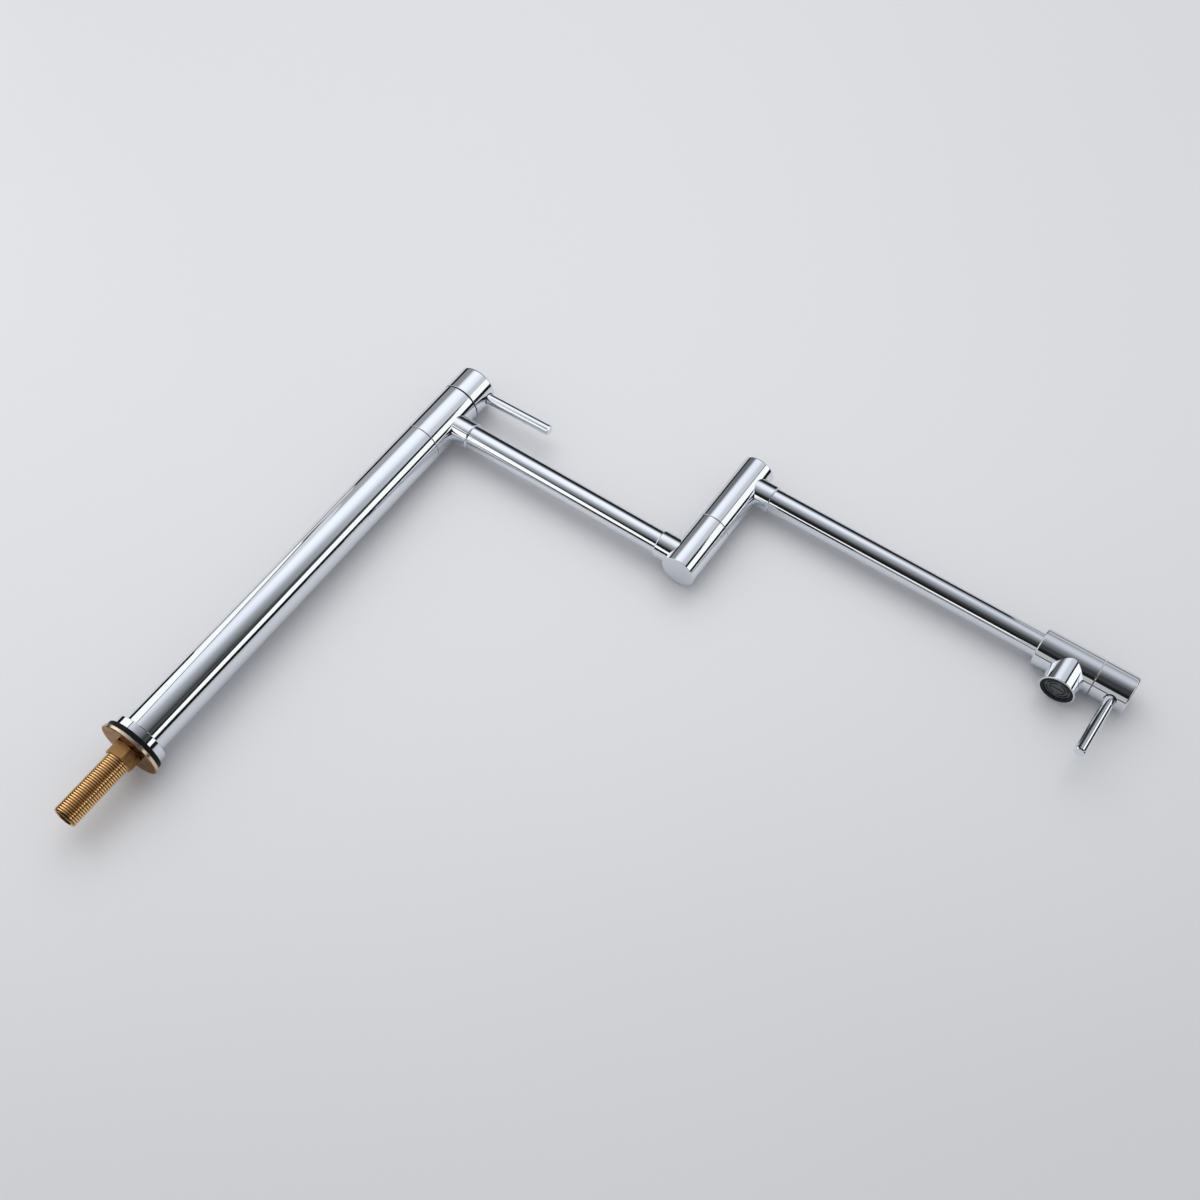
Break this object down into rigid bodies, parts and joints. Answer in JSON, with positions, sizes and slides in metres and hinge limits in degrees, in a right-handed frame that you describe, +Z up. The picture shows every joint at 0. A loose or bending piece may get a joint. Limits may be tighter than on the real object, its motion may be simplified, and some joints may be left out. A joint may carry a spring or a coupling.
{
  "type": "pot filler tap",
  "caption": "Deck-mounted pot filler tap with a tall column, folding double-jointed swing arms, a lever valve at the column top and a lever valve at the spout.",
  "frame": {"origin": "on the column axis at the deck plane, which is the underside of the base flange", "axes": "+Z up the column, +X along both arms at rest, +Y completes the right hand; the picture looks from the -Y side and from below"},
  "size_m": [0.6491, 0.055, 0.5844],
  "materials": {
    "chrome": "polished chrome plate on brass",
    "brass": "raw machined brass",
    "nut_brass": "dull forged brass",
    "washer_metal": "dull plated metal",
    "copper_pipe": "drawn copper",
    "rubber": "black rubber",
    "bearing_plastic": "white low-friction plastic",
    "black_plastic": "black plastic",
    "ceramic": "lapped ceramic",
    "screw_steel": "plain steel"
  },
  "bodies": {
    "column": {"threaded_shank": "brass", "lock_nut": "nut_brass", "clamp_washer": "washer_metal", "rubber_gasket": "rubber", "base_flange": "chrome", "column_tube": "chrome", "riser_pipe": "copper_pipe", "swivel_post": "brass", "post_seal_lower": "rubber", "post_seal_upper": "rubber", "swivel_bearing": "bearing_plastic"},
    "inner_arm": {"swivel_body": "chrome", "swivel_lock_screw": "screw_steel", "column_slip_ring": "black_plastic", "column_cartridge_body": "brass", "column_seat_seal": "rubber", "column_fixed_disc": "ceramic", "inner_arm_tube": "chrome", "elbow_lower_knuckle": "chrome", "elbow_lock_screw": "screw_steel", "elbow_thrust_washer": "bearing_plastic"},
    "column_handle": {"column_handle_cap": "chrome", "column_lever": "chrome", "column_handle_screw": "screw_steel", "column_stem": "brass", "column_moving_disc": "ceramic"},
    "outer_arm": {"elbow_upper_knuckle": "chrome", "elbow_spindle": "brass", "elbow_seal_upper": "rubber", "elbow_seal_lower": "rubber", "outer_arm_tube": "chrome", "spout_body": "chrome", "spout_cartridge_body": "brass", "spout_seat_seal": "rubber", "spout_fixed_disc": "ceramic", "aerator_housing": "black_plastic", "aerator_insert": "black_plastic", "aerator_washer": "rubber"},
    "spout_handle": {"spout_handle_cap": "chrome", "spout_lever": "chrome", "spout_handle_screw": "screw_steel", "spout_stem": "brass", "spout_moving_disc": "ceramic"}
  },
  "joints": [
    {"name": "swivel_turn", "type": "hinge", "parent": "column", "child": "inner_arm", "pos_m": [0, 0, 0.3615], "axis": [0, 0, -1], "continuous": true},
    {"name": "column_lever_turn", "type": "hinge", "parent": "inner_arm", "child": "column_handle", "pos_m": [0, 0, 0.4161], "axis": [0, 0, -1], "range_deg": [-2, 88]},
    {"name": "elbow_turn", "type": "hinge", "parent": "inner_arm", "child": "outer_arm", "pos_m": [0.2585, 0, 0.4308], "axis": [0, 0, -1], "continuous": true},
    {"name": "spout_lever_turn", "type": "hinge", "parent": "outer_arm", "child": "spout_handle", "pos_m": [0.5906, 0, 0.486], "axis": [-1, 0, 0], "range_deg": [-12, 78]}
  ]
}
